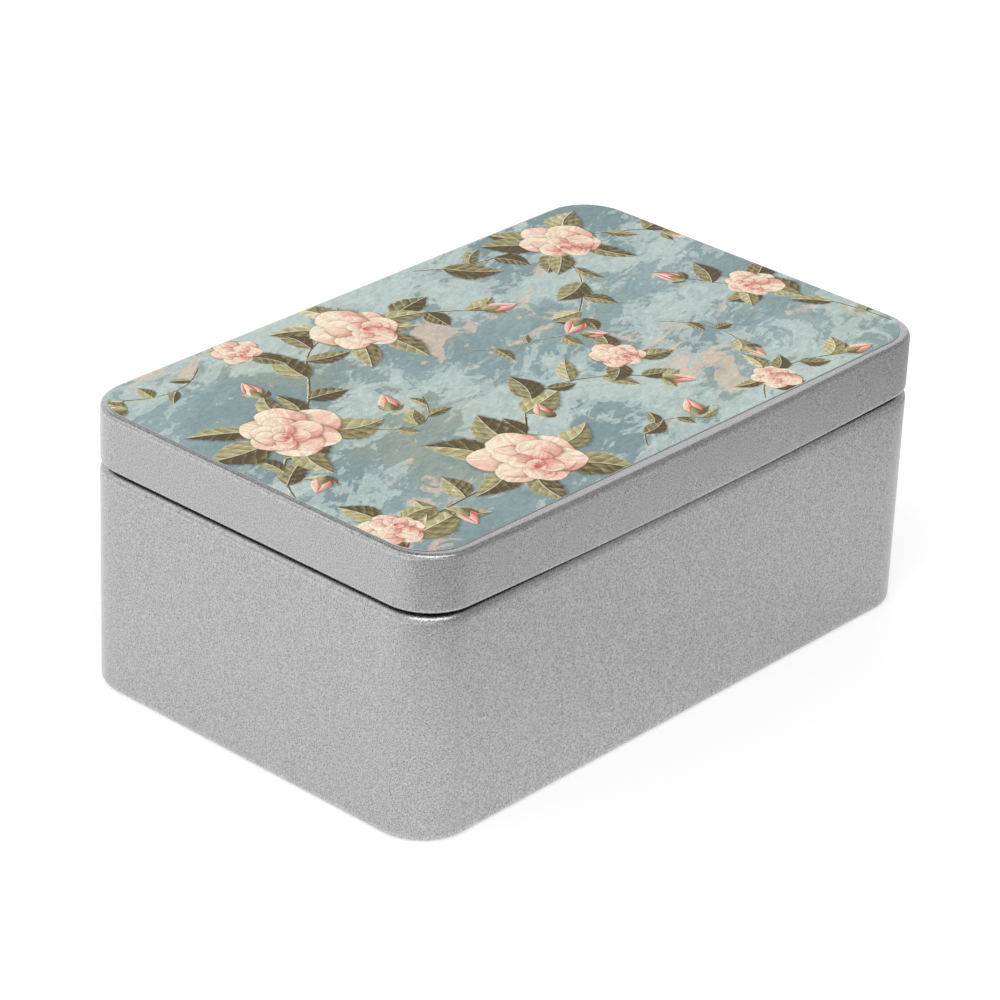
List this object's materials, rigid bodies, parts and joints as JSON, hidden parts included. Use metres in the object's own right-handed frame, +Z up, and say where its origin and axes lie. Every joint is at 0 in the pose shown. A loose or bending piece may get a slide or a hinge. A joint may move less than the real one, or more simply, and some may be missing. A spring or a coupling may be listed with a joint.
{
  "type": "metal storage box",
  "caption": "Rectangular tinplate storage box with rounded corners and a lift-off slip lid that sits flush over a stepped neck, with a floral printed sheet on the lid.",
  "frame": {"origin": "centre of the box in plan, on the plane of the foot that it stands on", "axes": "+X along the long side, +Y towards the rear face with the lock seam, +Z up, the way the lid lifts"},
  "size_m": [0.152, 0.0991, 0.0627],
  "materials": {
    "tinplate": "matt silver tinplate with a fine even grain",
    "bare_tin": "plain bright tinplate, satin",
    "print": "satin printed sheet, pale pink and cream blossoms with olive leaves on mottled blue-grey"
  },
  "bodies": {
    "box": {"body_wall": "tinplate", "base_plate": "bare_tin"},
    "lid": {"lid_shell": "tinplate", "printed_panel": "print"}
  },
  "joints": [
    {"name": "lid_lift", "type": "slide", "parent": "box", "child": "lid", "axis": [0, 0, 1], "range_m": [0, 0.09]}
  ]
}
